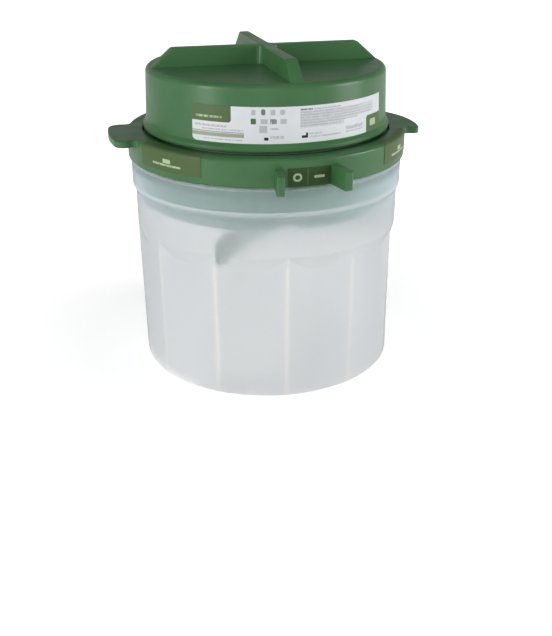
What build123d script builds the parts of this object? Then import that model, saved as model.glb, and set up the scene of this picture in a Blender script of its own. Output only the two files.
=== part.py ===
# Biopsy specimen container: a translucent pot, a screw ring that clamps a plug on its rim,
# and a liquid reservoir that turns on the plug to open the ports between reservoir and pot.
# Millimetres and degrees. Z is up, the origin is the middle of the pot's base, the front is -Y.
# A bearing is an angle in plan, counted from the front towards +X.

from build123d import *
from math import cos, degrees, radians, sin
import os

full_turn = 360.0
edge_share = 0.3           # rounding of a small edge, as a share of the wall it is on

# Pot
jar_radius = 68.4          # round band above the facets
jar_wall = 1.6
jar_floor = 2.2
facet_count = 12
facet_bearing = -6.0       # bearing of one vertical corner
facet_height = 75.0        # base to the foot of the round band
facet_foot_inset = 1.0     # how much the corners draw in towards the base
facet_top_depth = 2.0      # middle of a facet inside its corners, at the top
facet_foot_depth = 0.3     # the same at the base, where the facets fade out
facet_rounding = 3.0
ledge_height = 11.0        # sloping ledge that runs into the facets
ledge_step = 3.0
ledge_rounding = 5.6
foot_rounding = 1.8
band_height = 21.0
collar_height = 13.6
collar_step = 1.4          # collar stands out from the band
collar_slope_height = 2.4
collar_slope_rounding = 0.8
collar_top_rounding = 1.5
collar_shoulder = 3.4      # inside slope below the neck
neck_height = 8.4
neck_setback = 1.6         # neck is smaller than the band
neck_wall = 2.0

# Thread between neck and ring
thread_starts = 4
thread_lead = 25.0
thread_depth = 1.9
thread_root = 2.2
thread_crest = 1.2
thread_flank_gap = 0.35
thread_crest_gap = 0.5
neck_lug_angle = 40.0
ring_lug_angle = 36.0
thread_embed = 0.4         # how far a lug's foot runs into its wall
thread_top_margin = 0.25   # rim to the highest point of a neck lug

# Screw ring
ring_wall = 1.8
ring_plate = 2.0
ring_land = 8.0            # width of the plate's flat top, wall included
ring_lift = 0.9            # collar to the lower edge of the ring
ring_edge_rounding = 1.3
ring_play = 0.3            # plate above the plug's flange
bead_grip = 0.9
bead_height = 0.65
bead_play = 0.3
bead_count = 6
bead_angle = 24.0

# Grips on the ring
ear_thickness = 3.5
ear_top_chamfer = 0.4
ear_foot_rounding = 0.5
ear_root_rounding = 3.0
ear_root_angle = 3.2       # strip of the ring's edge that carries the root, beside the ear
left_ear_reach = 9.6
left_ear_front_bearing = -76.0
left_ear_back_bearing = -104.0
left_ear_front_rounding = 5.0
left_ear_back_rounding = 6.5
right_ear_reach = 7.4
right_ear_mid_reach = 5.0
right_ear_front_bearing = 69.7
right_ear_back_bearing = 100.0 # bearing where its outer edge runs into the ring
right_ear_rounding = 2.5
fin_bearing = 1.0          # middle between the two fins
fin_spread_angle = 10.9    # from there to each fin
fin_reach = 13.4
fin_thickness = 3.6
fin_height = 9.1
fin_rounding = 1.0

# Plug with the valve seat
rim_gasket_thickness = 1.2
rim_gasket_inset = 0.1
flange_thickness = 2.0
flange_gap = 1.0           # flange edge to the wall of the ring
skirt_gap = 0.6            # skirt inside the neck
skirt_wall = 1.6
skirt_depth = 31.4         # flange to the lower edge of the skirt
skirt_notch_count = 3
skirt_notch_bearing = -5.5
skirt_notch_width = 14.0
skirt_notch_height = 2.7
seat_rise = 1.0            # seat face above the flange
seat_thickness = 3.0
seat_gap = 1.0             # edge of the seat inside the ring's plate
seat_rib_height = 7.0
seat_rib_thickness = 2.0
post_radius = 8.0
post_top = 1.8             # post above its clip
clip_groove_depth = 1.0
socket_radius = 10.0       # shoulder that the spreader presses against
socket_length = 13.0
peg_radius = 6.5
peg_length = 14.0
peg_gap = 0.05

# Valve between plug and reservoir
port_count = 3
port_angle = 44.0
port_inner_radius = 20.0
port_rounding = 2.5
port_bearing = 23.5        # bearing of one port in the seat
valve_angle = 60.0         # from shut to open
gasket_thickness = 1.2
gasket_land = 3.0          # gasket outside and around the ports
gasket_port_margin = 0.4
gasket_centre_gap = 0.4
rotor_thickness = 3.0
rotor_lip_height = 1.3
rotor_lip_setback = 2.2    # lip inside the foot of the drum
rotor_gap = 0.1
hub_radius = 13.0
hub_height = 3.0
bore_gap = 0.08
seal_land = 2.3            # rotor edge to the groove of the seal
seal_width = 2.6
seal_gap = 0.1
seal_roof = 1.4            # rotor left above the groove
stop_bearing = -36.5
stop_pin_radius = 1.8
stop_land = 1.6            # wall between stop slot and seal groove, and slot and gasket
stop_gap = 0.3
stop_roof = 1.0            # rotor left above the slot
stop_top_gap = 0.4
washer_thickness = 1.2
washer_rim = 0.6           # washer inside the edge of the hub
washer_gap = 0.15
clip_thickness = 1.1
clip_width = 4.4
clip_opening_angle = 70.0
clip_bearing = 180.0       # middle of the clip, so that it opens to the front
clip_gap = 0.05

# Reservoir
drum_top_inset = 1.3       # how much the wall draws in towards the top
drum_height = 29.8
drum_wall = 2.0
drum_roof = 2.2
drum_top_rounding = 2.8
drum_foot_step = 1.3
drum_foot_height = 1.7
drum_foot_slope_height = 1.6
drum_bore_gap = 0.4        # foot of the drum inside the ring's plate
handle_height = 8.9
handle_base_thickness = 6.4
handle_top_thickness = 5.3
handle_end_inset = 0.5
handle_end_slope_width = 12.1
handle_end_rounding = 3.0
handle_edge_rounding = 0.7
handle_root_rounding = 3.0
handle_embed = 1.5

# Spreader under the plug
vane_count = 3
vane_bearing = -36.5
vane_height = 11.6
vane_thickness = 2.4
vane_wall_gap = 2.3        # vane tip inside the neck
vane_tip_rounding = 2.0
vane_drop = 8.3            # skirt's lower edge to the top of the vanes
gusset_width = 12.0
gusset_height = 16.0
gusset_rounding = 4.0
spreader_hub_wall = 3.0

# Printed films
drum_film_thickness = 0.2
drum_film_bearing = 0.4
drum_film_angle = 97.8
drum_film_height = 16.5
drum_film_lift = 3.6       # drum's foot to the lower edge of its film
ring_film_thickness = 0.15
ring_film_height = 10.0    # ring's top to the lower edge of a film
ring_film_width = 4.2      # how far it folds over the top of the ring
left_film_bearing = -55.0
left_film_angle = 32.0
right_film_bearing = 52.0
right_film_angle = 28.0
indicator_left_gap = 2.2   # film to the left fin
indicator_right_gap = 0.4  # film to the right fin
indicator_height = 8.6
indicator_lift = 0.4       # ring's lower edge to the film between the fins

# Levels, from the base up
band_bottom = facet_height
collar_bottom = band_bottom + band_height
collar_top = collar_bottom + collar_height
rim = collar_top + neck_height
ring_bottom = collar_top + ring_lift
flange_bottom = rim + rim_gasket_thickness
flange_top = flange_bottom + flange_thickness
plate_bottom = flange_top + ring_play
ring_top = plate_bottom + ring_plate
seat_top = flange_top + seat_rise
seat_bottom = seat_top - seat_thickness
skirt_bottom = flange_bottom - skirt_depth
rotor_bottom = seat_top + gasket_thickness
rotor_top = rotor_bottom + rotor_thickness
drum_bottom = rotor_bottom + rotor_lip_height
drum_top = drum_bottom + drum_height
hub_top = rotor_top + hub_height
washer_top = hub_top + washer_thickness
clip_top = washer_top + clip_thickness
post_end = clip_top + post_top
socket_bottom = seat_bottom - socket_length
peg_bottom = socket_bottom - peg_length
vane_top = skirt_bottom - vane_drop
vane_bottom = vane_top - vane_height

# Radii
neck_radius = jar_radius - neck_setback
neck_bore = neck_radius - neck_wall
collar_radius = jar_radius + collar_step
ring_bore = neck_radius + thread_depth + thread_crest_gap
ring_radius = ring_bore + ring_wall
skirt_radius = neck_bore - skirt_gap
flange_radius = ring_bore - flange_gap
ear_foot = ring_bore - ring_wall
ear_inside = ring_radius - ring_edge_rounding
ear_seat = ring_radius - edge_share * ring_edge_rounding
fin_foot = ring_radius - ring_wall / 2
plate_bore = ring_radius - ring_land
drum_foot_radius = plate_bore - drum_bore_gap
drum_radius = drum_foot_radius - drum_foot_step
seat_radius = plate_bore - seat_gap
drum_bore = drum_radius - drum_wall
rotor_radius = drum_bore - rotor_gap
rotor_lip_radius = drum_foot_radius - rotor_lip_setback
seal_outer = rotor_radius - seal_land
seal_inner = seal_outer - seal_width
stop_radius = seal_inner - seal_gap - stop_land - stop_gap - stop_pin_radius
gasket_radius = stop_radius - stop_pin_radius - stop_gap - stop_land
port_outer_radius = gasket_radius - gasket_land
vane_tip_radius = neck_bore - vane_wall_gap

# Thread, worked out from the gap between the flanks
thread_flank = (thread_root - thread_crest) / 2 / thread_depth
thread_pair = thread_root - thread_flank * (ring_bore - neck_radius)
neck_lug_rise = thread_lead * neck_lug_angle / full_turn
neck_lug_level = rim - thread_top_margin - thread_root / 2 - neck_lug_rise / 2
ring_lug_level = neck_lug_level - thread_pair - thread_flank_gap


def ring_point(radius, bearing):
    """Point in plan at a radius and a bearing."""
    return Vector(radius * sin(radians(bearing)), -radius * cos(radians(bearing)))


def rounded(face, spot, rounding):
    """Rounds the corner of a face that lies nearest to a spot."""
    nearest = min(face.vertices(), key=lambda v: (Vector(v.X, v.Y) - spot).length)
    return fillet(nearest, rounding)


def profile(*corners):
    """Face from (radius, height) corners; a third value rounds that corner."""
    face = make_face(Polyline(*[(c[0], c[1]) for c in corners], close=True))
    for corner in corners:
        if len(corner) == 3 and corner[2] > 0:
            face = rounded(face, Vector(corner[0], corner[1]), corner[2])
    return face


def turned(face, arc=full_turn, bearing=0.0):
    """Turns a profile about the axis; a part turn is centred on its bearing."""
    solid = revolve(Plane.XZ * face, Axis.Z, revolution_arc=arc)
    return Rot(0, 0, bearing - 90 - arc / 2) * solid


def around(solid, count, bearing=0.0):
    """Copies of a solid that lies along +X, spread evenly from a bearing."""
    return [Rot(0, 0, bearing - 90 + full_turn * i / count) * solid for i in range(count)]


def beyond(edges, radius):
    """Edges whose middle lies outside a radius in plan."""
    return [e for e in edges if Vector(e.center().X, e.center().Y).length > radius]


def slab(sketch, bottom, top):
    """Plate from a sketch in plan, between two levels."""
    return Pos(0, 0, bottom) * extrude(sketch, top - bottom)


def ring_sector(inner, outer, arc, rounding=0.0):
    """Part of a flat ring in plan, centred on +X."""
    half = radians(arc / 2)
    start = [Vector(r * cos(half), -r * sin(half)) for r in (inner, outer)]
    end = [Vector(r * cos(half), r * sin(half)) for r in (inner, outer)]
    edges = [
        Line(start[0], start[1]),
        ThreePointArc(start[1], (outer, 0), end[1]),
        Line(end[1], end[0]),
        ThreePointArc(end[0], (inner, 0), start[0]),
    ]
    face = make_face(edges)
    return fillet(face.vertices(), rounding) if rounding > 0 else face


def helical_lug(foot_radius, height, arc, level):
    """Thread lug along +X: height is how far it stands from its foot, negative when inwards."""
    rise = thread_lead * arc / full_turn
    path = Helix(pitch=thread_lead, height=rise, radius=foot_radius)
    side = 1 if height > 0 else -1
    foot = -side * thread_embed
    foot_half = thread_root / 2 + thread_flank * thread_embed
    section = make_face(Polyline(
        (foot, -foot_half),
        (height, -thread_crest / 2),
        (height, thread_crest / 2),
        (foot, foot_half),
        close=True,
    ))
    frame = Plane(origin=path @ 0, x_dir=(1, 0, 0), z_dir=path % 0)
    lug = sweep(frame * section, path=path, is_frenet=True)
    return Rot(0, 0, -arc / 2) * Pos(0, 0, level - rise / 2) * lug


def facets(inset, bottom, top):
    """Body with bulging facets that fade towards the base, drawn in by a wall for the cavity."""
    sections = []
    for level in (bottom, top):
        share = level / facet_height
        radius = jar_radius - inset - facet_foot_inset * (1 - share)
        depth = facet_foot_depth + (facet_top_depth - facet_foot_depth) * share
        bearings = [facet_bearing + full_turn * i / facet_count for i in range(facet_count)]
        outline = make_face([
            ThreePointArc(
                ring_point(radius, start),
                ring_point(radius - depth, start + full_turn / facet_count / 2),
                ring_point(radius, start + full_turn / facet_count),
            )
            for start in bearings
        ])
        outline = fillet(outline.vertices(), facet_rounding - inset)
        sections.append(Pos(0, 0, level) * outline)
    return loft(sections, ruled=True)


def ear(start, end, reaches, tip_roundings, root_roundings):
    """Flat ear in plan between two bearings, from its reach at the start, middle and end."""
    bearings = (start, (start + end) / 2, end)
    tips = [ring_point(ring_radius + reach, bearing) for reach, bearing in zip(reaches, bearings)]
    feet = [ring_point(ear_foot, start), ring_point(ear_foot, end)]
    plan = make_face([
        Line(feet[0], tips[0]),
        ThreePointArc(*tips),
        Line(tips[2], feet[1]),
        Line(feet[1], feet[0]),
    ])
    seat_start = start - (ear_root_angle if root_roundings[0] > 0 else 0)
    seat_end = end + (ear_root_angle if root_roundings[1] > 0 else 0)
    seat = ring_sector(ear_foot, ear_seat, seat_end - seat_start)
    plan += Rot(0, 0, (seat_start + seat_end) / 2 - 90) * seat
    spots = (tips[0], tips[2], ring_point(ear_seat, start), ring_point(ear_seat, end))
    for spot, rounding in zip(spots, tip_roundings + root_roundings):
        if rounding > 0:
            plan = rounded(plan, spot, rounding)
    return plan


def drum_wall_radius(level):
    """Outer radius of the drum's wall at a level."""
    return drum_radius - drum_top_inset * (level - drum_bottom) / drum_height


# Pot: facets below, a round band, a collar and the threaded neck
ledge_foot = jar_radius - ledge_step
ledge_bottom = facet_height - ledge_height
slope_bottom = collar_bottom - collar_slope_height
pot = facets(0, 0, facet_height)
pot = fillet(pot.edges().group_by(Axis.Z)[0], foot_rounding)
pot += turned(profile(
    (0, ledge_bottom),
    (ledge_foot, ledge_bottom),
    (jar_radius, band_bottom, ledge_rounding),
    (jar_radius, slope_bottom, collar_slope_rounding),
    (collar_radius, collar_bottom, collar_slope_rounding),
    (collar_radius, collar_top, collar_top_rounding),
    (neck_radius, collar_top, edge_share * collar_step),
    (neck_radius, rim, edge_share * neck_wall),
    (0, rim),
))
cavity = facets(jar_wall, jar_floor, facet_height)
cavity = fillet(cavity.edges().group_by(Axis.Z)[0], foot_rounding)
cavity += turned(profile(
    (0, ledge_bottom),
    (ledge_foot - jar_wall, ledge_bottom),
    (jar_radius - jar_wall, band_bottom),
    (jar_radius - jar_wall, slope_bottom),
    (collar_radius - jar_wall, collar_bottom),
    (collar_radius - jar_wall, collar_top - jar_wall - collar_shoulder),
    (neck_bore, collar_top - jar_wall),
    (neck_bore, rim + neck_wall),
    (0, rim + neck_wall),
))
pot -= cavity
neck_lug = helical_lug(neck_radius, thread_depth, neck_lug_angle, neck_lug_level)
pot += around(neck_lug, thread_starts)

# Screw ring: wall, plate, thread lugs and snap beads
ring_edge = (ring_radius, ring_top, ring_edge_rounding)
screw_ring = turned(profile(
    (ring_bore, ring_bottom),
    (ring_radius, ring_bottom, edge_share * ring_wall),
    ring_edge,
    (plate_bore, ring_top, edge_share * ring_plate),
    (plate_bore, plate_bottom),
    (ring_bore, plate_bottom),
))
ring_lug = helical_lug(ring_bore, -thread_depth, ring_lug_angle, ring_lug_level)
screw_ring += around(ring_lug, thread_starts)
bead_top = flange_bottom - bead_play
bead = profile(
    (flange_radius - bead_grip, bead_top),
    (flange_radius - bead_grip, bead_top - bead_height / 2),
    (ring_bore, bead_top - bead_height),
    (ring_bore + ring_wall / 2, bead_top - bead_height),
    (ring_bore + ring_wall / 2, bead_top),
)
screw_ring += [turned(bead, bead_angle, full_turn * i / bead_count) for i in range(bead_count)]

# Ears level with the ring's top, and a pair of fins on its wall
left_ear = ear(
    left_ear_back_bearing,
    left_ear_front_bearing,
    (left_ear_reach, left_ear_reach, left_ear_reach),
    (left_ear_back_rounding, left_ear_front_rounding),
    (ear_root_rounding, ear_root_rounding),
)
right_ear = ear(
    right_ear_front_bearing,
    right_ear_back_bearing,
    (right_ear_reach, right_ear_mid_reach, ear_seat - ring_radius),
    (right_ear_rounding, 0),
    (ear_root_rounding, 0),
)
clear_inside = slab(Circle(ear_inside), ring_bottom, ring_top + ring_plate)
for plan in (left_ear, right_ear):
    plate = slab(plan, ring_top - ear_thickness, ring_top)
    plate = chamfer(beyond(plate.edges().group_by(Axis.Z)[-1], ear_inside), ear_top_chamfer)
    plate = fillet(beyond(plate.edges().group_by(Axis.Z)[0], ear_inside), ear_foot_rounding)
    screw_ring += plate - clear_inside

fin = Plane.XZ * make_face(Polyline(
    (fin_foot, ring_bottom),
    (ring_radius + fin_reach, ring_bottom),
    (ring_radius + fin_reach, ring_bottom + fin_height),
    (fin_foot, ring_bottom + fin_height),
    close=True,
))
fin = extrude(fin, fin_thickness / 2, both=True)
fin = fillet(fin.faces().sort_by(Axis.X)[-1].edges(), fin_rounding)
screw_ring += around(fin, 1, fin_bearing - fin_spread_angle)
screw_ring += around(fin, 1, fin_bearing + fin_spread_angle)

# Films on the ring: one over the edge on each side of the front, one between the fins
ring_film = profile(
    (ring_radius, ring_top - ring_film_height),
    (ring_radius + ring_film_thickness, ring_top - ring_film_height),
    (ring_radius + ring_film_thickness, ring_top + ring_film_thickness,
     ring_edge_rounding + ring_film_thickness),
    (ring_radius - ring_film_width, ring_top + ring_film_thickness),
    (ring_radius - ring_film_width, ring_top),
    ring_edge,
)
ring_label_left = turned(ring_film, left_film_angle, left_film_bearing)
ring_label_right = turned(ring_film, right_film_angle, right_film_bearing)
indicator_bottom = ring_bottom + indicator_lift
left_clearance = degrees((fin_thickness / 2 + indicator_left_gap) / ring_radius)
right_clearance = degrees((fin_thickness / 2 + indicator_right_gap) / ring_radius)
indicator_start = fin_bearing - fin_spread_angle + left_clearance
indicator_end = fin_bearing + fin_spread_angle - right_clearance
indicator_label = turned(profile(
    (ring_radius, indicator_bottom),
    (ring_radius + ring_film_thickness, indicator_bottom),
    (ring_radius + ring_film_thickness, indicator_bottom + indicator_height),
    (ring_radius, indicator_bottom + indicator_height),
), indicator_end - indicator_start, (indicator_start + indicator_end) / 2)

# Plug: flange on the rim, skirt in the neck, seat with ports, post above and socket below
plug = turned(profile(
    (0, peg_bottom),
    (peg_radius, peg_bottom, edge_share * spreader_hub_wall),
    (peg_radius, socket_bottom),
    (socket_radius, socket_bottom),
    (socket_radius, seat_bottom, edge_share * seat_thickness),
    (skirt_radius - skirt_wall, seat_bottom),
    (skirt_radius - skirt_wall, skirt_bottom),
    (skirt_radius, skirt_bottom, edge_share * skirt_wall),
    (skirt_radius, flange_bottom),
    (flange_radius, flange_bottom),
    (flange_radius, flange_top, edge_share * flange_thickness),
    (seat_radius, flange_top),
    (seat_radius, seat_top, edge_share * seat_rise),
    (post_radius, seat_top),
    (post_radius, washer_top),
    (post_radius - clip_groove_depth, washer_top),
    (post_radius - clip_groove_depth, clip_top + clip_gap),
    (post_radius, clip_top + clip_gap),
    (post_radius, post_end, clip_groove_depth),
    (0, post_end),
))
port = ring_sector(port_inner_radius, port_outer_radius, port_angle, port_rounding)
plug -= around(slab(port, seat_bottom - seat_rib_height, seat_top + seat_rise), port_count, port_bearing)
rib = Box(
    skirt_radius - skirt_wall / 2 - socket_radius / 2,
    seat_rib_thickness,
    seat_rib_height,
    align=(Align.MIN, Align.CENTER, Align.MAX),
)
rib = Pos(socket_radius / 2, 0, seat_bottom) * rib
plug += around(rib, port_count, port_bearing + full_turn / port_count / 2)
notch_radius = (skirt_notch_width ** 2 / 4 + skirt_notch_height ** 2) / (2 * skirt_notch_height)
notch = Rot(0, 90, 0) * Cylinder(notch_radius, 2 * (skirt_wall + skirt_gap))
notch = Pos(skirt_radius, 0, skirt_bottom + skirt_notch_height - notch_radius) * notch
plug -= around(notch, skirt_notch_count, skirt_notch_bearing)
stop_pin = Cylinder(
    stop_pin_radius,
    gasket_thickness + rotor_thickness - stop_roof - stop_top_gap,
    align=(Align.CENTER, Align.CENTER, Align.MIN),
)
plug += around(Pos(stop_radius, 0, seat_top) * stop_pin, 1, stop_bearing)

rim_gasket = turned(profile(
    (neck_bore + rim_gasket_inset, rim),
    (neck_radius - rim_gasket_inset, rim),
    (neck_radius - rim_gasket_inset, flange_bottom),
    (neck_bore + rim_gasket_inset, flange_bottom),
))

# Gasket on the seat, with the seat's own ports
gasket = Circle(gasket_radius) - Circle(post_radius + gasket_centre_gap)
gasket_port = ring_sector(
    port_inner_radius - gasket_port_margin,
    port_outer_radius + gasket_port_margin,
    port_angle + degrees(2 * gasket_port_margin / port_outer_radius),
    port_rounding,
)
gasket -= around(gasket_port, port_count, port_bearing)
valve_gasket = slab(gasket, seat_top, rotor_bottom)

# Rotor: floor of the reservoir, turned half a pitch from the seat's ports when shut
rotor = turned(profile(
    (post_radius + bore_gap, rotor_bottom),
    (rotor_lip_radius, rotor_bottom, edge_share * rotor_lip_height),
    (rotor_lip_radius, drum_bottom),
    (rotor_radius, drum_bottom),
    (rotor_radius, rotor_top),
    (hub_radius, rotor_top, edge_share * hub_height),
    (hub_radius, hub_top, edge_share * hub_height),
    (post_radius + bore_gap, hub_top),
))
rotor -= around(slab(port, rotor_bottom, rotor_top), port_count, port_bearing - valve_angle)
seal_groove_roof = rotor_top - seal_roof
rotor -= turned(profile(
    (seal_inner - seal_gap, rotor_bottom - seal_gap),
    (seal_outer + seal_gap, rotor_bottom - seal_gap),
    (seal_outer + seal_gap, seal_groove_roof),
    (seal_inner - seal_gap, seal_groove_roof),
))
stop_slot = SlotArc(
    CenterArc((0, 0), stop_radius, stop_bearing - valve_angle, valve_angle),
    2 * (stop_pin_radius + stop_gap),
)
rotor -= around(slab(stop_slot, rotor_bottom - stop_gap, rotor_top - stop_roof), 1)

face_seal = turned(profile(
    (seal_inner, seat_top),
    (seal_outer, seat_top),
    (seal_outer, seal_groove_roof),
    (seal_inner, seal_groove_roof),
))
thrust_washer = turned(profile(
    (post_radius + washer_gap, hub_top),
    (hub_radius - washer_rim, hub_top),
    (hub_radius - washer_rim, washer_top),
    (post_radius + washer_gap, washer_top),
))
clip_bore = post_radius - clip_groove_depth + clip_gap
clip_angle = full_turn - clip_opening_angle
clip_plan = ring_sector(clip_bore, clip_bore + clip_width, clip_angle, edge_share * clip_width)
retaining_clip = around(slab(clip_plan, washer_top, clip_top), 1, clip_bearing)[0]

# Reservoir: drum with a foot and a roof
foot_top = drum_bottom + drum_foot_height
wall_start = foot_top + drum_foot_slope_height
cavity_top = drum_top - drum_roof
reservoir = turned(profile(
    (drum_bore, drum_bottom),
    (drum_foot_radius, drum_bottom, edge_share * drum_foot_step),
    (drum_foot_radius, foot_top, edge_share * drum_foot_step),
    (drum_wall_radius(wall_start), wall_start, drum_foot_slope_height / 2),
    (drum_wall_radius(drum_top), drum_top, drum_top_rounding),
    (0, drum_top),
    (0, cavity_top),
    (drum_wall_radius(cavity_top) - drum_wall, cavity_top, drum_wall),
    (drum_bore, rotor_top),
))

# Cross on the roof that turns the reservoir
handle_base = drum_top - handle_embed
handle_top = drum_top + handle_height
base_half = drum_wall_radius(drum_top) - handle_end_inset
arm = loft([
    Pos(0, 0, handle_base) * Rectangle(2 * base_half, handle_base_thickness),
    Pos(0, 0, handle_top) * Rectangle(2 * (base_half - handle_end_slope_width), handle_top_thickness),
], ruled=True)
arm = fillet(arm.faces().sort_by(Axis.Z)[-1].edges().filter_by(Axis.Y), handle_end_rounding)
cross = arm + Rot(0, 0, 90) * arm
inner_corners = [
    e for e in cross.edges()
    if abs(e.center().X) < handle_base_thickness and abs(e.center().Y) < handle_base_thickness
    and e.length > handle_height
]
cross = fillet(inner_corners, handle_root_rounding)
top_edges = [
    e for e in cross.faces().sort_by(Axis.Z)[-1].edges()
    if e.length > handle_top_thickness or e.geom_type == GeomType.CIRCLE
]
cross = fillet(top_edges, handle_edge_rounding)
reservoir += cross

drum_film_bottom = drum_bottom + drum_film_lift
drum_film_top = drum_film_bottom + drum_film_height
reservoir_label = turned(profile(
    (drum_wall_radius(drum_film_bottom), drum_film_bottom),
    (drum_wall_radius(drum_film_bottom) + drum_film_thickness, drum_film_bottom),
    (drum_wall_radius(drum_film_top) + drum_film_thickness, drum_film_top),
    (drum_wall_radius(drum_film_top), drum_film_top),
), drum_film_angle, drum_film_bearing)

# Spreader: tube on the plug's peg, with vanes just inside the pot's wall
hub_outer = peg_radius + peg_gap + spreader_hub_wall
spreader = turned(profile(
    (peg_radius + peg_gap, vane_bottom),
    (hub_outer, vane_bottom, edge_share * spreader_hub_wall),
    (hub_outer, socket_bottom),
    (peg_radius + peg_gap, socket_bottom),
))
hub_middle = peg_radius + spreader_hub_wall / 2
vane = Plane.XZ * profile(
    (hub_middle, vane_bottom),
    (vane_tip_radius, vane_bottom, vane_tip_rounding),
    (vane_tip_radius, vane_top, vane_tip_rounding),
    (hub_outer + gusset_width, vane_top, gusset_rounding),
    (hub_outer, vane_top + gusset_height),
    (hub_middle, vane_top + gusset_height),
)
vane = extrude(vane, vane_thickness / 2, both=True)
spreader += around(vane, vane_count, vane_bearing)

os.makedirs("parts", exist_ok=True)
nodes = {
    "jar": pot,
    "screw_ring": screw_ring,
    "ring_label_left": ring_label_left,
    "ring_label_right": ring_label_right,
    "indicator_label": indicator_label,
    "plug": plug,
    "rim_gasket": rim_gasket,
    "valve_gasket": valve_gasket,
    "thrust_washer": thrust_washer,
    "retaining_clip": retaining_clip,
    "spreader": spreader,
    "reservoir": reservoir,
    "reservoir_label": reservoir_label,
    "rotor": rotor,
    "face_seal": face_seal,
}
for name, shape in nodes.items():
    export_step(shape, f"parts/{name}.step")
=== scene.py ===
"""Finishes a biopsy specimen container: its plastics, its printed films and a plain studio round it."""
from math import atan2, cos, degrees, pi, radians, sin

import bpy
from mathutils import Matrix, Vector


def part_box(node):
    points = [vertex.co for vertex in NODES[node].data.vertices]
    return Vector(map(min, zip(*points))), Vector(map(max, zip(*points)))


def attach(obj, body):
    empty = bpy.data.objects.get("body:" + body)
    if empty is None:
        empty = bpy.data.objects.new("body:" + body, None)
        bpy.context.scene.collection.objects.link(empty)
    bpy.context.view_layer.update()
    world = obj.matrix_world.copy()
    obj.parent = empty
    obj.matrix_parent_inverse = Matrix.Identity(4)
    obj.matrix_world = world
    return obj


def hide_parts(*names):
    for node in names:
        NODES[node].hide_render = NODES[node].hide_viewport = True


bl_info = {
    "name": "Specimen Container Finisher",
    "version": (1, 0, 0),
    "blender": (4, 5, 0),
    "location": "3D View > Sidebar > Container",
    "description": "Adds the plastics, printed films and studio of a specimen container",
    "category": "Object",
}

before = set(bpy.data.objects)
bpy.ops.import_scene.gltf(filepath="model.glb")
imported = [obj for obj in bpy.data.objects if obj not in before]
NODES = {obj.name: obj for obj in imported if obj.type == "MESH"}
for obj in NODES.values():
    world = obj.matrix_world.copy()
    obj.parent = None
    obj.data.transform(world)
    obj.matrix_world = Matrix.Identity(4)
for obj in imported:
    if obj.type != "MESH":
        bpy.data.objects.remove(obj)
MM = 0.001

# Where the pot's wall changes
FACET_BEARING = radians(-6)
FACET_PITCH = radians(30)
LEDGE_LEVEL = 72 * MM
BAND_LEVEL = 84 * MM
COLLAR_FOOT = 97.4 * MM
COLLAR_TOP = 109.2 * MM

# How the films are made
RING_EDGE = 1.3 * MM
EDGE_STEPS = 8
CORNER_CUTS = 5
FILM_SEGMENTS = 720
SMOOTH_ANGLE = radians(35)


def lowest(node):
    """Level of a node's lowest point."""
    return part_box(node)[0].z


def highest(node):
    """Level of a node's highest point."""
    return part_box(node)[1].z


def wall_radius(label, level):
    """Radius of the plastic under a label's solid: the smallest of the label near a level."""
    margin = 0.3 * MM
    near = [v.co for v in NODES[label].data.vertices if abs(v.co.z - level) < margin]
    return min(p.xy.length for p in near)


def bearing_of(point):
    """Bearing of a point in degrees, from the front towards +X."""
    return degrees(atan2(point.x, -point.y))


def span(node):
    """First and last bearing of a node that wraps the front."""
    bearings = [bearing_of(v.co) for v in NODES[node].data.vertices]
    return min(bearings), max(bearings)


# Sizes and colours that a user would change


def length(name, description, default):
    """A length setting, in metres."""
    return bpy.props.FloatProperty(
        name=name, description=description, default=default, unit="LENGTH", precision=5,
    )


def angle(name, description, default):
    """An angle setting, given in degrees."""
    return bpy.props.FloatProperty(
        name=name, description=description, default=radians(default), subtype="ANGLE",
    )


def share(name, description, default, high=1.0):
    """A plain factor."""
    return bpy.props.FloatProperty(
        name=name, description=description, default=default, min=0, max=high, subtype="FACTOR",
    )


def power(name, description, default):
    """A lamp's power, in watts."""
    return bpy.props.FloatProperty(name=name, description=description, default=default, min=0, unit="POWER")


def screen_to_light(value):
    """Linear light of a screen value from 0 to 255, by the usual screen curve."""
    v = value / 255
    return v / 12.92 if v <= 0.04045 else ((v + 0.055) / 1.055) ** 2.4


def colour(name, description, default):
    """A colour setting, from red, green and blue counted to 255 as on a screen."""
    return bpy.props.FloatVectorProperty(
        name=name, description=description, default=[screen_to_light(c) for c in default],
        size=3, subtype="COLOR", min=0, max=1,
    )


class ContainerPlastics(bpy.types.PropertyGroup):
    """Colours and gloss of the moulded plastics, seals and fittings."""

    lid_green: colour("Lid green", "Main colour of the ring, plug and drum", (66, 113, 69))
    lid_green_deep: colour("Lid green, deep", "Darker clouds in the lid's plastic", (60, 105, 63))
    lid_roughness: share("Lid roughness", "How matt the lid's plastic is", 0.34)
    lid_specular: share("Lid specular", "Strength of the lid's plain reflection", 0.36)
    pot_veil: colour("Pot veil", "Cool milky colour of the pot's wall itself", (228, 236, 243))
    pot_clear: colour("Pot light", "Tint of the light that passes through the pot's wall", (249, 247, 245))
    pot_cool: colour("Pot light, cool", "The same in the thick wall of band and collar", (236, 249, 255))
    pot_clearness: share("Pot clearness", "Share of light that passes straight into the pot", 0.76)
    pot_blur: share("Pot blur", "How much the pot's wall blurs what is behind it", 0.5)
    pot_gloss: share("Pot roughness", "How matt the pot's skin is", 0.34)
    # Painted highlight: the veil is whitened along the corners of the pot's facets
    painted_corner_highlight: share("Pot streaks", "How much milkier the wall is along the corners of its facets", 0.05)
    collar_clear: share("Collar", "How much clearer the wall is from the collar up", 0.07)
    # Painted highlight: the veil is whitened along the collar's two edges
    painted_collar_highlight: share("Collar lines", "How much milkier the wall is along the collar's two edges", 0.11)
    seal_grey: colour("Seals", "Colour of the silicone seals", (200, 200, 196))
    washer_white: colour("Washer", "Colour of the bearing washer", (228, 228, 222))
    clip_steel: colour("Clip", "Colour of the spring clip", (176, 178, 182))


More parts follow.
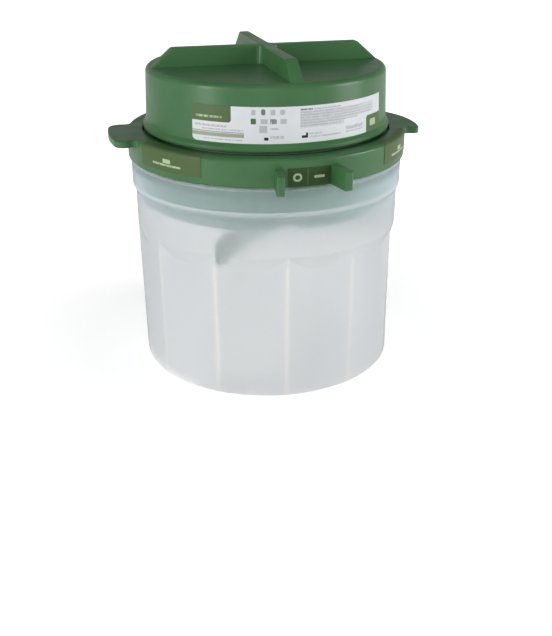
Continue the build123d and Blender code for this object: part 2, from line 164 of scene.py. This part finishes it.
class ContainerFilms(bpy.types.PropertyGroup):
    """Sizes, finish and colours of the printed films."""

    film: length("Film", "Thickness of a film above the plastic", 0.12 * MM)
    lift: length("Lift", "Gap between the plastic and the film's underside", 0.06 * MM)
    corner: length("Corner", "Radius of the drum film's lower corners", 3.0 * MM)
    roughness: share("Film roughness", "How matt the films are", 0.42)
    specular: share("Film specular", "Strength of the films' plain reflection", 0.2)
    paper: colour("Film white", "Ground of the drum film", (226, 229, 232))
    olive: colour("Olive", "Printed olive blocks", (84, 108, 68))
    olive_pale: colour("Olive, pale", "Printed stripe", (160, 166, 148))
    ring_olive: colour("Ring film", "Ground of the films on the ring", (80, 102, 62))
    dark_olive: colour("Indicator", "Ground of the film between the fins", (54, 80, 44))
    pale: colour("Pale print", "Plain marks on olive ground", (178, 198, 160))
    grey_faint: colour("Grey print, faint", "Ground of small print", (206, 209, 213))
    grey: colour("Grey print", "Plain bars and lines", (184, 187, 190))
    grey_deep: colour("Grey print, deep", "Darker plain marks", (120, 122, 126))
    black: colour("Black print", "Darkest plain marks", (38, 40, 44))


class ContainerStudio(bpy.types.PropertyGroup):
    """Floor, lamps and camera."""

    floor: length("Floor", "Side of the square floor", 6.0)
    floor_glow: share("Floor glow", "Own brightness of the floor at the object, as the camera sees it", 0.5)
    ambient: share("Ambient", "Strength of the light from all round", 0.24, high=5.0)
    mirrored: share("Mirrored", "Brightness of floor and backdrop, as reflections see them", 0.4)
    overhead: share("Overhead", "Brightness above the backdrop, as reflections see it", 0.04)
    key: power("Key", "Power of the lamp at the left, in watts", 5.9)
    fill: power("Fill", "Power of the lamp at the right, in watts", 7.2)
    front: power("Front", "Power of the lamp behind the camera, in watts", 2.2)
    top: power("Top", "Power of the lamp overhead, in watts", 0.2)
    lens: bpy.props.FloatProperty(
        name="Lens", description="Focal length on a 36 mm sensor", default=50.77, unit="CAMERA",
    )
    azimuth: angle("Azimuth", "Where the camera stands, from the front towards +X", -15.0)
    pitch: angle("Pitch", "How far the camera looks down", 25.25)
    distance: length("Distance", "Camera to the object's axis, in plan", 461.5 * MM)
    aside: length("Aside", "Camera to the right of the axis", 5.17 * MM)
    height: length("Height", "Camera above the floor", 230.2 * MM)


# Materials


class Wiring:
    """Nodes of a material or a world, with one shader and short calls that add and join nodes."""

    def __init__(self, name, owner="materials", shader="BsdfPrincipled", output="OutputMaterial"):
        self.material = getattr(bpy.data, owner).new(name)
        self.material.use_nodes = True
        self.tree = self.material.node_tree
        self.tree.nodes.clear()
        self.shader = self.add(f"ShaderNode{shader}")
        self.output = self.add(f"ShaderNode{output}").inputs["Surface"]
        self.put(self.shader.outputs[0], self.output)
        self.coordinates = self.add("ShaderNodeTexCoord").outputs
        self.place = self.coordinates["Object"]

    def add(self, kind, **attributes):
        node = self.tree.nodes.new(kind)
        for name, value in attributes.items():
            setattr(node, name, value)
        return node

    def put(self, value, socket):
        """Joins an output to a socket, or sets the socket to a plain value."""
        if isinstance(value, bpy.types.NodeSocket):
            self.tree.links.new(value, socket)
        elif socket.type == "RGBA":
            socket.default_value = (*value, 1.0)
        else:
            socket.default_value = value

    def feed(self, node, *values):
        """Puts values into a node's first sockets in order, and gives its outputs."""
        for value, socket in zip(values, node.inputs):
            self.put(value, socket)
        return node.outputs

    def fill(self, node, **values):
        """Puts values into a node's sockets by name, with an underscore for each space."""
        for name, value in values.items():
            self.put(value, node.inputs[name.replace("_", " ")])

    def finish(self, **values):
        """Fills the shader itself and gives the finished material or world."""
        self.fill(self.shader, **values)
        return self.material

    def calculate(self, operation, *values):
        return self.feed(self.add("ShaderNodeMath", operation=operation), *values)[0]

    def times(self, first, second):
        return self.calculate("MULTIPLY", first, second)

    def apart(self, first, second):
        """Distance between two values."""
        return self.calculate("ABSOLUTE", self.calculate("SUBTRACT", first, second))

    def reckon(self, operation, *values):
        """Vector arithmetic; a length comes out of the second output."""
        outputs = self.feed(self.add("ShaderNodeVectorMath", operation=operation), *values)
        return outputs[1] if operation == "LENGTH" else outputs[0]

    def split(self, vector):
        return self.feed(self.add("ShaderNodeSeparateXYZ"), vector)

    def combine(self, x, y):
        return self.feed(self.add("ShaderNodeCombineXYZ"), x, y)[0]

    def bearing(self):
        """Bearing round the object's axis in radians, from the front towards +X."""
        place = self.split(self.place)
        return self.calculate("ARCTAN2", place["X"], self.times(place["Y"], -1.0))

    def level(self):
        """Height above the floor."""
        return self.split(self.place)["Z"]

    def noise(self, scale, detail=2.0, stretch=(1, 1, 1), where=None):
        """Soft noise on the object, or on a vector that is worked out from it."""
        if where is None:
            where = self.reckon("MULTIPLY", self.place, stretch)
        node = self.add("ShaderNodeTexNoise")
        self.fill(node, Vector=where, Scale=scale, Detail=detail)
        return node.outputs["Fac"]

    def ramp(self, value, low, high, to_low=0.0, to_high=1.0):
        """A value between two ends, spread between two others."""
        return self.feed(self.add("ShaderNodeMapRange"), value, low, high, to_low, to_high)[0]

    def fade(self, value, low, high):
        """One up to the low end, and nought from the high end on."""
        return self.ramp(value, low, high, to_low=1.0, to_high=0.0)

    def blend(self, factor, first, second):
        """Mix of two colours, which are the node's sockets 6 and 7, and its output 2."""
        node = self.add("ShaderNodeMix", data_type="RGBA")
        self.put(factor, node.inputs[0])
        self.put(first, node.inputs[6])
        self.put(second, node.inputs[7])
        return node.outputs[2]

    def mottle(self, pattern, tone, dimmest):
        """A colour that a pattern from nought to one dims in places."""
        return self.blend(pattern, tone, tuple(c * dimmest for c in tone))

    def dent(self, height, strength, distance):
        """Bumps the skin by a height pattern."""
        node = self.add("ShaderNodeBump")
        self.fill(node, Strength=strength, Distance=distance, Height=height)
        self.normal = node.outputs["Normal"]
        self.put(self.normal, self.shader.inputs["Normal"])


def lid_plastic(plastics):
    """Satin green moulding: faint flow clouds and a fine spark-eroded skin."""
    wiring = Wiring("lid_plastic")
    clouds = wiring.ramp(wiring.noise(scale=34.0, detail=3.0, stretch=(1, 1, 1.6)), low=0.35, high=0.65)
    skin = wiring.noise(scale=2600.0, detail=1.0)
    wiring.dent(skin, strength=0.06, distance=0.05 * MM)
    rough = wiring.ramp(
        wiring.noise(scale=90.0), low=0.3, high=0.7,
        to_low=plastics.lid_roughness - 0.05, to_high=plastics.lid_roughness + 0.06,
    )
    return wiring.finish(
        Base_Color=wiring.blend(clouds, plastics.lid_green, plastics.lid_green_deep),
        Roughness=rough,
        Specular_IOR_Level=plastics.lid_specular,
    )


def facet_corner(wiring):
    """One along the corners between the pot's facets, below its ledge, and nought elsewhere; a highlight is
    painted there.
    """
    from_corner = wiring.calculate("SUBTRACT", wiring.bearing(), FACET_BEARING)
    facet = wiring.calculate("DIVIDE", from_corner, FACET_PITCH)
    off_corner = wiring.apart(facet, wiring.calculate("ROUND", facet))
    near = wiring.fade(off_corner, low=0.01, high=0.05)
    below_ledge = wiring.fade(wiring.level(), low=LEDGE_LEVEL - 3 * MM, high=LEDGE_LEVEL)
    return wiring.times(near, below_ledge)


def collar_levels(wiring):
    """One from the foot of the pot's collar up, and one along the collar's two edges, where a highlight is
    painted.
    """
    level = wiring.level()
    above = wiring.ramp(level, low=COLLAR_FOOT - 1 * MM, high=COLLAR_FOOT + 1 * MM)
    lines = [
        wiring.fade(wiring.apart(level, edge), low=0.3 * MM, high=1.2 * MM)
        for edge in (COLLAR_FOOT, COLLAR_TOP)
    ]
    return above, wiring.calculate("MAXIMUM", *lines)


def pot_plastic(plastics):
    """Milky natural plastic: a cool veil on the wall, and warmer blurred light that passes through it; the
    veil carries a painted highlight along the facet corners and the collar's edges.
    """
    wiring = Wiring("pot_plastic")
    corner = facet_corner(wiring)
    collar, line = collar_levels(wiring)
    flow = wiring.ramp(wiring.noise(scale=26.0, stretch=(1, 1, 0.35)), low=0.35, high=0.65)
    waves = wiring.noise(scale=60.0, stretch=(1, 1, 0.25))
    wiring.dent(waves, strength=0.12, distance=0.8 * MM)
    # Painted highlight: the veil turns white along the facet corners and the collar's edges
    painted_highlight = wiring.calculate("MAXIMUM", corner, line)
    veil = wiring.blend(painted_highlight, wiring.mottle(flow, plastics.pot_veil, dimmest=0.95), (1, 1, 1))
    thick = wiring.ramp(wiring.level(), low=BAND_LEVEL, high=COLLAR_FOOT)
    light = wiring.blend(thick, wiring.mottle(flow, plastics.pot_clear, dimmest=0.98), plastics.pot_cool)
    rough = wiring.ramp(
        wiring.noise(scale=140.0), low=0.3, high=0.7,
        to_low=plastics.pot_gloss - 0.04, to_high=plastics.pot_gloss + 0.05,
    )
    wiring.finish(Base_Color=veil, Roughness=rough, Specular_IOR_Level=0.5)
    passing = wiring.add("ShaderNodeBsdfPrincipled")
    wiring.fill(
        passing,
        Base_Color=light,
        Roughness=plastics.pot_blur,
        IOR=1.3,
        Transmission_Weight=1.0,
        Normal=wiring.normal,
    )
    clearness = plastics.pot_clearness
    # Along the facet corners and collar edges the wall is made less clear, so that the painted highlight
    # shows
    changes = (collar, plastics.collar_clear), (corner, -plastics.painted_corner_highlight), (line, -plastics.painted_collar_highlight)
    for mark, clearer in changes:
        clearness = wiring.calculate("ADD", clearness, wiring.times(mark, clearer))
    mixed = wiring.add("ShaderNodeMixShader")
    wall = wiring.feed(mixed, clearness, wiring.shader.outputs[0], passing.outputs[0])[0]
    wiring.put(wall, wiring.output)
    return wiring.material


def soft_seal(plastics):
    """Matt silicone with a dusty skin."""
    wiring = Wiring("sealing_rubber")
    dust = wiring.ramp(wiring.noise(scale=400.0, detail=3.0), low=0.3, high=0.7)
    wiring.dent(wiring.noise(scale=3000.0), strength=0.08, distance=0.05 * MM)
    return wiring.finish(Base_Color=wiring.mottle(dust, plastics.seal_grey, dimmest=0.86), Roughness=0.72)


def bearing_plastic(plastics):
    """Pale slippery washer with fine turning marks."""
    wiring = Wiring("bearing_plastic")
    flat = wiring.reckon("MULTIPLY", wiring.place, (1, 1, 0))
    radians_per_metre = 16000.0
    rings = wiring.calculate("SINE", wiring.times(wiring.reckon("LENGTH", flat), radians_per_metre))
    wiring.dent(rings, strength=0.05, distance=0.02 * MM)
    base = wiring.mottle(wiring.ramp(rings, low=-1, high=1), plastics.washer_white, dimmest=0.93)
    return wiring.finish(Base_Color=base, Roughness=0.5)


def clip_metal(plastics):
    """Spring steel with a drawn grain."""
    wiring = Wiring("clip_steel")
    grain = wiring.noise(scale=900.0, stretch=(0.15, 1, 1))
    base = wiring.mottle(wiring.ramp(grain, low=0.3, high=0.7), plastics.clip_steel, dimmest=0.8)
    rough = wiring.ramp(grain, low=0.3, high=0.7, to_low=0.26, to_high=0.4)
    return wiring.finish(Base_Color=base, Roughness=rough, Metallic=1.0)


def field_group():
    """Node group that marks a rectangle with rounded corners: one inside it and nought outside.

    Half is half its width and height without the rounding, and MAXIMUM has nought at its other side.
    """
    group = bpy.data.node_groups.new("printed_field", "ShaderNodeTree")
    for name, kind in (("Place", "Vector"), ("Centre", "Vector"), ("Half", "Vector"), ("Rounding", "Float")):
        group.interface.new_socket(name, in_out="INPUT", socket_type=f"NodeSocket{kind}")
    group.interface.new_socket("Mark", in_out="OUTPUT", socket_type="NodeSocketFloat")
    entry = group.nodes.new("NodeGroupInput").outputs
    leave = group.nodes.new("NodeGroupOutput").inputs
    found = entry["Place"]
    for operation, other in (
        ("SUBTRACT", entry["Centre"]),
        ("ABSOLUTE", None),
        ("SUBTRACT", entry["Half"]),
        ("MAXIMUM", None),
        ("LENGTH", None),
    ):
        step = group.nodes.new("ShaderNodeVectorMath")
        step.operation = operation
        group.links.new(found, step.inputs[0])
        if other is not None:
            group.links.new(other, step.inputs[1])
        found = step.outputs["Value" if operation == "LENGTH" else "Vector"]
    inside = group.nodes.new("ShaderNodeMath")
    inside.operation = "LESS_THAN"
    group.links.new(found, inside.inputs[0])
    group.links.new(entry["Rounding"], inside.inputs[1])
    group.links.new(inside.outputs[0], leave["Mark"])
    return group


def broken_line(wiring, around, up):
    """Breaks a printed line up into dashes like small words, with other dashes in the next row."""
    rows_per_mm = 1.1
    letters_per_mm = 1.6
    row_shift = 7.3
    row = wiring.calculate("FLOOR", wiring.times(up, rows_per_mm))
    letters = wiring.combine(wiring.times(around, letters_per_mm), wiring.times(row, row_shift))
    return wiring.ramp(wiring.noise(scale=1.0, detail=3.0, where=letters), low=0.36, high=0.5)


def film_print(name, films, ground, marks, base_level, radius):
    """Printed film: plain blocks, bars and lines at bearings in degrees and heights in millimetres.

    A mark is (colour, first bearing, last bearing, low, high, rounding in mm, kind), and kind is solid, or
    words for a line that is broken up like print that is too small to read.
    """
    wiring = Wiring(name)
    group = bpy.data.node_groups.get("printed_field") or field_group()
    around = wiring.times(wiring.bearing(), radius / MM)
    up = wiring.times(wiring.calculate("SUBTRACT", wiring.level(), base_level), 1 / MM)
    spot = wiring.combine(around, up)
    broken = broken_line(wiring, around, up)
    clouds = wiring.ramp(wiring.noise(scale=55.0), low=0.35, high=0.65)
    base = wiring.mottle(clouds, getattr(films, ground), dimmest=0.94)
    per_degree = radians(1) * radius / MM
    for paint, first, last, low, high, rounding, kind in marks:
        centre = ((first + last) / 2 * per_degree, (low + high) / 2, 0)
        half = ((last - first) / 2 * per_degree - rounding, (high - low) / 2 - rounding, 0)
        field = wiring.add("ShaderNodeGroup", node_tree=group)
        mark = wiring.feed(field, spot, centre, half, rounding)[0]
        if kind == "words":
            mark = wiring.times(mark, broken)
        base = wiring.blend(mark, base, getattr(films, paint))
    wiring.dent(wiring.noise(scale=1800.0, detail=1.0), strength=0.03, distance=0.03 * MM)
    return wiring.finish(Base_Color=base, Roughness=films.roughness, Specular_IOR_Level=films.specular)


def dress(names, material):
    """Gives CAD nodes a material in the one slot that each of them has."""
    for name in names:
        NODES[name].data.materials[0] = material


# Mesh building


def deselect():
    """Leaves edit mode with nothing selected."""
    if bpy.context.object and bpy.context.object.mode != "OBJECT":
        bpy.ops.object.mode_set(mode="OBJECT")
    bpy.ops.object.select_all(action="DESELECT")


def pick_faces(mesh, test):
    """Selects the faces of the mesh in edit mode whose middle passes a test."""
    bpy.ops.mesh.select_all(action="DESELECT")
    bpy.ops.object.mode_set(mode="OBJECT")
    for face in mesh.polygons:
        face.select = test(face.center)
    bpy.ops.object.mode_set(mode="EDIT")


def turned_film(name, profile, first, last, films, corner=0.0):
    """Film round the axis: a profile of (radius, level) points, between two bearings."""
    deselect()
    radius, level = profile[0]
    bpy.ops.mesh.primitive_circle_add(
        vertices=FILM_SEGMENTS, radius=radius, fill_type="NOTHING", location=(0, 0, level),
    )
    film = bpy.context.object
    film.name = name
    film.data.name = name
    bpy.ops.object.transform_apply(location=True, rotation=False, scale=False)
    bpy.ops.object.mode_set(mode="EDIT")
    bpy.ops.mesh.select_mode(type="VERT")
    bpy.ops.mesh.select_all(action="SELECT")
    for next_radius, next_level in profile[1:]:
        bpy.ops.mesh.extrude_region_move(TRANSFORM_OT_translate={"value": (0, 0, next_level - level)})
        grow = next_radius / radius
        bpy.ops.transform.resize(value=(grow, grow, 1), center_override=(0, 0, next_level))
        radius, level = next_radius, next_level
    bpy.ops.mesh.select_mode(type="FACE")
    pick_faces(film.data, lambda middle: not first < bearing_of(middle) < last)
    bpy.ops.mesh.delete(type="FACE")
    if corner:
        round_lower_corners(film.data, profile[0], first, last, corner)
    # The extruded faces point at the axis
    bpy.ops.mesh.select_all(action="SELECT")
    bpy.ops.mesh.flip_normals()
    bpy.ops.object.mode_set(mode="OBJECT")
    wall = film.modifiers.new("thickness", "SOLIDIFY")
    wall.thickness = films.film
    wall.offset = 1.0
    bpy.ops.object.modifier_apply(modifier=wall.name)
    bpy.ops.object.shade_smooth_by_angle(angle=SMOOTH_ANGLE)
    return film


def round_lower_corners(mesh, foot, first, last, corner):
    """Trims both lower corners of a film to a radius with a few straight cuts."""
    radius, level = foot
    down = Vector((0, 0, -1))
    near = 2.2 * corner
    for end, side in ((first, -1), (last, 1)):
        middle = radians(end - side * degrees(corner / radius))
        out = Vector((sin(middle), -cos(middle), 0))
        along = Vector((cos(middle), sin(middle), 0)) * side
        centre = out * radius + Vector((0, 0, level + corner))
        for cut in range(1, CORNER_CUTS + 1):
            tilt = radians(90 * cut / (CORNER_CUTS + 1))
            normal = along * cos(tilt) + down * sin(tilt)
            pick_faces(mesh, lambda face_middle: (face_middle - centre).length < near)
            bpy.ops.mesh.bisect(plane_co=centre + normal * corner, plane_no=normal, clear_outer=True)


def edge_arc(radius, top):
    """Quarter round over the ring's edge, from a film's upright part to its flat part on top."""
    turns = [radians(90 * step / EDGE_STEPS) for step in range(EDGE_STEPS + 1)]
    return [
        (radius - RING_EDGE + RING_EDGE * cos(turn), top - RING_EDGE + RING_EDGE * sin(turn))
        for turn in turns
    ]


# Rows of small print on the drum's film, in mm, and the bearings in degrees at which they end
SMALL_PRINT_TOP = 14.1
ROW_PITCH = 1.2
ROW_HEIGHT = 0.7
ROW_ENDS = (34.0, 41.4, 41.4, 40.0, 30.0, 20.0)
SMALL_PRINT = []
for row, row_end in enumerate(ROW_ENDS):
    row_top = SMALL_PRINT_TOP - ROW_PITCH * row
    SMALL_PRINT.append(("grey", 0.5, row_end, row_top - ROW_HEIGHT, row_top, 0.1, "words"))

# Print on the drum's film, from left to right, a mark to a line as film_print takes it
DRUM_MARKS = [
    ("olive", -60, -29.4, 9.2, 30, 1.4, "solid"),
    ("pale", -46.5, -33.5, 10.9, 11.9, 0.2, "words"),
    ("grey", -46.6, -31.5, 6.9, 7.9, 0.1, "words"),
    ("grey", -43.0, -24.0, 5.5, 6.2, 0.1, "words"),
    ("grey_deep", -49.2, -23.7, 4.6, 4.9, 0.1, "solid"),
    ("olive_pale", -60, -23.7, 2.6, 4.3, 0.1, "solid"),
    ("grey", -42.0, -23.7, 1.2, 1.7, 0.1, "words"),
    ("grey", -20.6, -18.8, 12.9, 15.3, 0.3, "solid"),
    ("grey_deep", -16.4, -14.6, 12.9, 15.6, 0.8, "solid"),
    ("grey", -12.4, -10.4, 12.9, 15.3, 0.3, "solid"),
    ("grey", -8.4, -6.2, 12.9, 15.3, 0.9, "solid"),
    ("olive", -20.8, -18.6, 8.9, 11.4, 0.3, "solid"),
    ("grey", -16.6, -13.6, 9.0, 11.2, 0.2, "solid"),
    ("grey_deep", -12.6, -9.8, 9.0, 11.2, 0.2, "words"),
    ("grey", -8.2, -5.6, 9.0, 11.2, 0.2, "solid"),
    ("grey", -17.2, -13.8, 5.0, 8.2, 0.2, "solid"),
    ("grey", -12.6, -9.0, 6.4, 7.2, 0.1, "words"),
    ("black", -15.2, -13.3, 1.6, 3.0, 0.4, "solid"),
    ("grey", -12.6, -6.6, 2.4, 3.6, 0.1, "words"),
    ("grey_faint", 0.3, 42.0, 9.4, 14.3, 0.1, "solid"),
    ("grey_faint", 0.3, 22.0, 6.8, 9.5, 0.1, "solid"),
    ("grey_deep", 0.5, 6.2, 14.6, 15.3, 0.1, "words"),
    ("grey", 6.6, 20.0, 14.6, 15.3, 0.1, "words"),
    *SMALL_PRINT,
    ("black", 1.0, 3.8, 2.2, 3.4, 0.3, "solid"),
    ("black", 2.9, 3.8, 2.4, 4.6, 0.1, "solid"),
    ("grey", 4.4, 10.6, 3.6, 4.3, 0.1, "words"),
    ("grey", 4.4, 20.0, 2.2, 2.9, 0.1, "words"),
    ("grey", 22.8, 33.8, 2.4, 3.0, 0.1, "words"),
    ("grey", 22.8, 33.8, 3.6, 5.2, 0.2, "words"),
    ("olive", 36.4, 70, -10, 7.8, 1.5, "solid"),
    ("pale", 39.5, 44.5, 2.4, 5.6, 0.8, "solid"),
]


# Studio

# Each lamp's setting, its width and height, and its place, in metres
LAMPS = (
    ("key", (0.3, 0.6), (-1.02, -0.4, 0.33)),
    ("fill", (0.5, 0.6), (1.0, -0.45, 0.33)),
    ("front", (0.7, 0.7), (-0.3, -1.0, 0.5)),
    ("top", (0.5, 0.5), (0.0, -0.35, 1.0)),
)
LAMP_TARGET = Vector((0, 0, 0.08))


def seen_plainly(wiring, mirrored):
    """One for rays that the camera or a clear wall sends out, and nought for light on the object.

    Reflections get the brightness that is passed in.
    """
    path = wiring.add("ShaderNodeLightPath").outputs
    shown = wiring.calculate("MAXIMUM", path["Is Camera Ray"], path["Is Transmission Ray"])
    return wiring.calculate("MAXIMUM", shown, wiring.times(path["Is Glossy Ray"], mirrored))


def area_lamp(name, power_in_watts, size, place):
    """Area lamp of a width and height, aimed at the middle of the object."""
    bpy.ops.object.light_add(type="AREA", location=place)
    lamp = bpy.context.object
    lamp.name = name
    lamp.data.energy = power_in_watts
    lamp.data.shape = "RECTANGLE"
    lamp.data.size, lamp.data.size_y = size
    lamp.rotation_euler = (LAMP_TARGET - Vector(place)).to_track_quat("-Z", "Y").to_euler()


# Operators


class CONTAINER_OT_pot(bpy.types.Operator):
    """Give the pot its milky natural plastic"""

    bl_idname = "container.pot"
    bl_label = "Pot"

    def execute(self, context):
        dress(["jar"], pot_plastic(context.scene.container_plastics))
        return {"FINISHED"}


class CONTAINER_OT_lid(bpy.types.Operator):
    """Give the ring, plug, valve and drum their green plastic"""

    bl_idname = "container.lid"
    bl_label = "Lid"

    def execute(self, context):
        green = lid_plastic(context.scene.container_plastics)
        dress(["screw_ring", "plug", "spreader", "reservoir", "rotor"], green)
        return {"FINISHED"}


class CONTAINER_OT_fittings(bpy.types.Operator):
    """Give the seals, the washer and the clip their finishes"""

    bl_idname = "container.fittings"
    bl_label = "Seals, Washer and Clip"

    def execute(self, context):
        plastics = context.scene.container_plastics
        dress(["rim_gasket", "valve_gasket", "face_seal"], soft_seal(plastics))
        dress(["thrust_washer"], bearing_plastic(plastics))
        dress(["retaining_clip"], clip_metal(plastics))
        return {"FINISHED"}


class CONTAINER_OT_drum_film(bpy.types.Operator):
    """Wrap the printed film round the front of the drum"""

    bl_idname = "container.drum_film"
    bl_label = "Drum Film"

    def execute(self, context):
        films = context.scene.container_films
        low, high = lowest("reservoir_label"), highest("reservoir_label")
        profile = [(wall_radius("reservoir_label", level) + films.lift, level) for level in (low, high)]
        film = turned_film("drum_film", profile, *span("reservoir_label"), films, films.corner)
        radius = sum(r for r, level in profile) / len(profile)
        film.data.materials.append(film_print("drum_print", films, "paper", DRUM_MARKS, low, radius))
        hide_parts("reservoir_label")
        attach(film, "drum")
        return {"FINISHED"}


class CONTAINER_OT_ring_films(bpy.types.Operator):
    """Fold the two olive films over the edge of the ring"""

    bl_idname = "container.ring_films"
    bl_label = "Ring Films"

    def execute(self, context):
        films = context.scene.container_films
        plate = highest("screw_ring")
        for side in ("left", "right"):
            node = f"ring_label_{side}"
            first, last = span(node)
            low, top = lowest(node), plate + films.lift
            outer = wall_radius(node, low) + films.lift
            inner = wall_radius(node, plate) + films.lift
            profile = [(outer, low), *edge_arc(outer, top), (inner, top)]
            film = turned_film(f"ring_film_{side}", profile, first, last, films)
            middle = (first + last) / 2
            marks = [
                ("pale", middle - 8, middle + 7, 2.6, 3.6, 0.2, "words"),
                ("pale", middle - 2, middle + 2, 4.0, 6.0, 0.6, "solid"),
            ]
            printed = film_print(f"ring_print_{side}", films, "ring_olive", marks, low, outer)
            film.data.materials.append(printed)
            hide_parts(node)
            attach(film, "ring")
        return {"FINISHED"}


class CONTAINER_OT_indicator(bpy.types.Operator):
    """Lay the two-part indicator film between the fins"""

    bl_idname = "container.indicator"
    bl_label = "Indicator Film"

    def execute(self, context):
        films = context.scene.container_films
        low, high = lowest("indicator_label"), highest("indicator_label")
        outer = wall_radius("indicator_label", low) + films.lift
        film = turned_film("indicator_film", [(outer, low), (outer, high)], *span("indicator_label"), films)
        marks = [
            ("olive", 0.8, 1.2, 0.6, 8.0, 0.1, "solid"),
            ("pale", -4.6, -1.2, 2.4, 6.2, 1.8, "solid"),
            ("dark_olive", -3.8, -2.0, 3.3, 5.3, 0.9, "solid"),
            ("pale", 3.4, 7.6, 3.6, 4.8, 0.5, "solid"),
        ]
        film.data.materials.append(film_print("indicator_print", films, "dark_olive", marks, low, outer))
        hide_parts("indicator_label")
        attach(film, "ring")
        return {"FINISHED"}


class CONTAINER_OT_studio(bpy.types.Operator):
    """Set the floor, the white surround, the lamps and the camera"""

    bl_idname = "container.studio"
    bl_label = "Studio"

    def execute(self, context):
        studio = context.scene.container_studio
        self.floor(studio)
        self.surround(context, studio)
        for name, size, place in LAMPS:
            area_lamp(f"{name}_lamp", getattr(studio, name), size, place)
        self.camera(context, studio)
        context.scene.view_settings.view_transform = "Standard"
        return {"FINISHED"}

    def floor(self, studio):
        """Pale matt floor, which glows for the camera and still keeps the object's shadow."""
        deselect()
        bpy.ops.mesh.primitive_plane_add(size=studio.floor)
        floor = bpy.context.object
        floor.name = "studio_floor"
        wiring = Wiring("studio_floor")
        pale, paler = (0.9, 0.9, 0.9), (0.93, 0.93, 0.93)
        away = wiring.ramp(
            wiring.reckon("LENGTH", wiring.place), low=0.1, high=0.4, to_low=studio.floor_glow, to_high=1.0,
        )
        floor.data.materials.append(wiring.finish(
            Base_Color=wiring.blend(wiring.noise(scale=3.0), paler, pale),
            Roughness=0.9,
            Specular_IOR_Level=0.0,
            Emission_Color=(1, 1, 1),
            Emission_Strength=wiring.times(seen_plainly(wiring, studio.mirrored), away),
        ))

    def surround(self, context, studio):
        """White world for the camera, and plain light from all round for the object."""
        wiring = Wiring("surround", "worlds", "Background", "OutputWorld")
        height = wiring.split(wiring.coordinates["Generated"])["Z"]
        mirrored = wiring.ramp(height, low=0.0, high=0.35, to_low=studio.mirrored, to_high=studio.overhead)
        plainly = seen_plainly(wiring, mirrored)
        strength = wiring.ramp(plainly, low=0, high=1, to_low=studio.ambient, to_high=1.0)
        context.scene.world = wiring.finish(Color=(1, 1, 1), Strength=strength)

    def camera(self, context, studio):
        """Camera where the photograph was taken from."""
        turn = Matrix.Rotation(studio.azimuth, 3, "Z")
        place = turn @ Vector((studio.aside, -studio.distance, studio.height))
        bpy.ops.object.camera_add(location=place, rotation=(pi / 2 - studio.pitch, 0, studio.azimuth))
        camera = bpy.context.object
        camera.data.lens = studio.lens
        camera.data.sensor_width = 36.0
        camera.data.clip_start = 0.01
        context.scene.camera = camera


GROUPS = {
    "container_plastics": ContainerPlastics,
    "container_films": ContainerFilms,
    "container_studio": ContainerStudio,
}
OPERATORS = (
    CONTAINER_OT_studio,
    CONTAINER_OT_pot,
    CONTAINER_OT_lid,
    CONTAINER_OT_fittings,
    CONTAINER_OT_drum_film,
    CONTAINER_OT_ring_films,
    CONTAINER_OT_indicator,
)


class CONTAINER_PT_panel(bpy.types.Panel):
    """Lists the container's pieces and their settings"""

    bl_label = "Specimen Container"
    bl_space_type = "VIEW_3D"
    bl_region_type = "UI"
    bl_category = "Container"

    def draw(self, context):
        layout = self.layout
        for operator in OPERATORS:
            layout.operator(operator.bl_idname)
        for group_name in GROUPS:
            group = getattr(context.scene, group_name)
            box = layout.box()
            for name in group.bl_rna.properties.keys():
                if name not in ("rna_type", "name"):
                    box.prop(group, name)


CLASSES = (*GROUPS.values(), *OPERATORS, CONTAINER_PT_panel)


def register():
    """Registers the classes and hangs the settings on the scene."""
    for cls in CLASSES:
        bpy.utils.register_class(cls)
    for name, group in GROUPS.items():
        setattr(bpy.types.Scene, name, bpy.props.PointerProperty(type=group))


def unregister():
    """Takes the settings and the classes away again."""
    for name in GROUPS:
        delattr(bpy.types.Scene, name)
    for cls in reversed(CLASSES):
        bpy.utils.unregister_class(cls)


def main():
    """Makes every piece in order."""
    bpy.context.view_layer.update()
    register()
    for operator in OPERATORS:
        group, name = operator.bl_idname.split(".")
        getattr(getattr(bpy.ops, group), name)()


if __name__ == "__main__":
    main()
